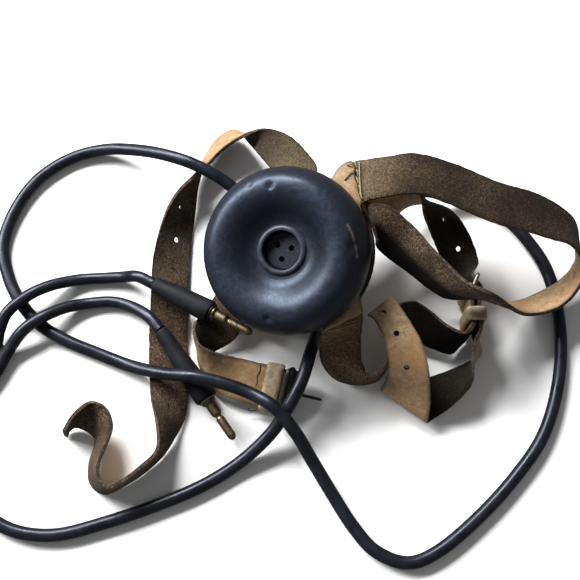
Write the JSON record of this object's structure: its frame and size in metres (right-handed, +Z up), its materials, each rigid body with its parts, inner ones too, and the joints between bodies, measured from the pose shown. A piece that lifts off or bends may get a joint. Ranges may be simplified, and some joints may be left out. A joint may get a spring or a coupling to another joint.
{
  "type": "aviation headset",
  "caption": "Aviation headset: a rubber-cushioned earphone in a leather strap harness with buckles, keepers and a forked rubber cord with pin plugs.",
  "frame": {"origin": "centre of the harness box on the surface it lies on, cords and plugs left out", "axes": "+Z up from the surface, +X towards the headband loop, +Y towards the headband side of the earphone"},
  "size_m": [0.2922, 0.2157, 0.0672],
  "materials": {
    "cushion_rubber": "smooth, dark blue-black moulded rubber with a soft sheen and small nicks",
    "moulded_black": "black moulded resin, polished, worn brown along one edge",
    "bright_steel": "plain ground steel",
    "brass": "plain turned brass",
    "magnet_steel": "dull grey magnet steel",
    "fibre": "dark brown pressed fibre",
    "copper_wire": "enamelled copper wire",
    "cord_rubber": "smooth black rubber with a gloss line",
    "tan_leather": "pale tan grain leather, creased and scuffed",
    "brown_leather": "dark brown suede flesh side, pale tan grain side, raw dark edges",
    "waxed_thread": "cream waxed thread",
    "buckle_steel": "tarnished steel wire",
    "blackened_steel": "blackened steel",
    "aged_brass": "dull aged brass with bright worn spots"
  },
  "bodies": {
    "headset": {"ear_cushion": "cushion_rubber", "receiver_cap": "moulded_black", "diaphragm": "bright_steel", "diaphragm_spacer": "brass", "receiver_case": "moulded_black", "magnet": "magnet_steel", "pole_pieces": "bright_steel", "coil_bobbins": "fibre", "coil_windings": "copper_wire", "terminal_block": "fibre", "terminal_screws": "brass", "magnet_screw": "brass", "cord_gland": "cord_rubber", "strap_collar": "tan_leather", "seam_stitching": "waxed_thread", "headband_strap": "brown_leather", "adjusting_strap": "brown_leather", "buckle_strap": "brown_leather", "chin_strap": "brown_leather", "chin_buckle_strap": "brown_leather", "fastened_chape": "tan_leather", "fastened_buckle_frame": "buckle_steel", "chin_chape": "tan_leather", "main_cord": "cord_rubber", "cord_fork": "cord_rubber", "lead_a": "cord_rubber", "lead_b": "cord_rubber", "plug_a_sleeve": "cord_rubber", "plug_a_pin": "aged_brass", "plug_b_sleeve": "cord_rubber", "plug_b_pin": "aged_brass"},
    "fastened_prong": {"fastened_buckle_prong": "blackened_steel"},
    "fastened_loop": {"fastened_keeper": "tan_leather"},
    "chin_frame": {"chin_buckle_frame": "buckle_steel"},
    "chin_roller": {"chin_buckle_roller": "blackened_steel"},
    "chin_prong": {"chin_buckle_prong": "buckle_steel"},
    "chin_loop": {"chin_keeper": "tan_leather"}
  },
  "joints": [
    {"name": "fastened_prong_hinge", "type": "hinge", "parent": "headset", "child": "fastened_prong", "pos_m": [0.0666, -0.0001, 0.0126], "axis": [0, 0, 1], "range_deg": [-35, 30]},
    {"name": "fastened_keeper_slide", "type": "slide", "parent": "headset", "child": "fastened_loop", "axis": [0, 1, 0], "range_m": [-0.002, 0.001]},
    {"name": "chin_frame_hinge", "type": "hinge", "parent": "headset", "child": "chin_frame", "pos_m": [-0.0178, -0.0453, 0.0084], "axis": [0.216, 0.8638, 0.4551], "range_deg": [-12, 8]},
    {"name": "chin_roller_spin", "type": "hinge", "parent": "chin_frame", "child": "chin_roller", "pos_m": [-0.02041, -0.04729, 0.01342], "axis": [0.216, 0.8638, 0.4551], "continuous": true},
    {"name": "chin_prong_hinge", "type": "hinge", "parent": "headset", "child": "chin_prong", "pos_m": [-0.0178, -0.0453, 0.0084], "axis": [0.216, 0.8638, 0.4551], "range_deg": [-40, 10]},
    {"name": "chin_keeper_slide", "type": "slide", "parent": "headset", "child": "chin_loop", "axis": [0.9701, -0.2425, 0], "range_m": [-0.008, 0]}
  ]
}
